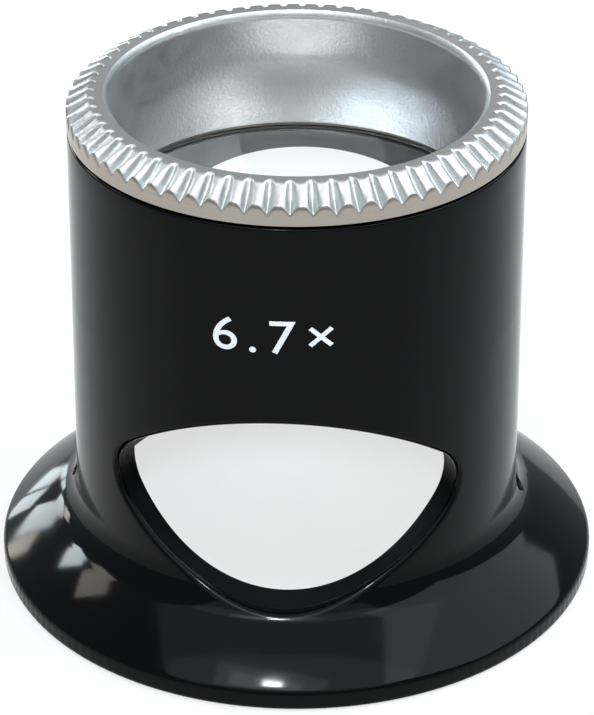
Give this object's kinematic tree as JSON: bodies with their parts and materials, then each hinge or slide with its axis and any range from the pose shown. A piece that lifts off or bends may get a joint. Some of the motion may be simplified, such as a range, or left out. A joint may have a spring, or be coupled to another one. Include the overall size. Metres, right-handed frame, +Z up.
{
  "type": "watchmaker eye loupe",
  "caption": "Hand-free eye loupe: a flared black eyecup with two side windows, a biconvex lens on a ledge near its top, and a knurled aluminium ring that screws in over the lens",
  "frame": {"origin": "on the lens axis, at the plane that the eyecup's rim stands on", "axes": "+Z up along the lens axis from the eye side to the ring, -Y out of the front window, +Y out of the rear window, X across the two pillars between the windows"},
  "size_m": [0.037, 0.037, 0.0315],
  "materials": {
    "eyecup": "smooth moulded gloss black",
    "lens_glass": "polished clear glass",
    "ring": "turned and coarsely knurled, bright"
  },
  "bodies": {
    "eyecup": {"eyecup_body": "eyecup"},
    "lens": {"lens": "lens_glass"},
    "ring": {"screw_ring": "ring"}
  },
  "joints": [
    {"name": "lens_lift", "type": "slide", "parent": "eyecup", "child": "lens", "axis": [0, 0, 1], "range_m": [0, 0.0101]},
    {"name": "ring_turn", "type": "hinge", "parent": "lens", "child": "ring", "pos_m": [0, 0, 0.02924], "axis": [0, 0, 1], "range_deg": [0, 3600]}
  ],
  "couplings": [
    {"joint": "lens_lift", "follows": "ring_turn", "m_per_rad": 0.00015915}
  ]
}
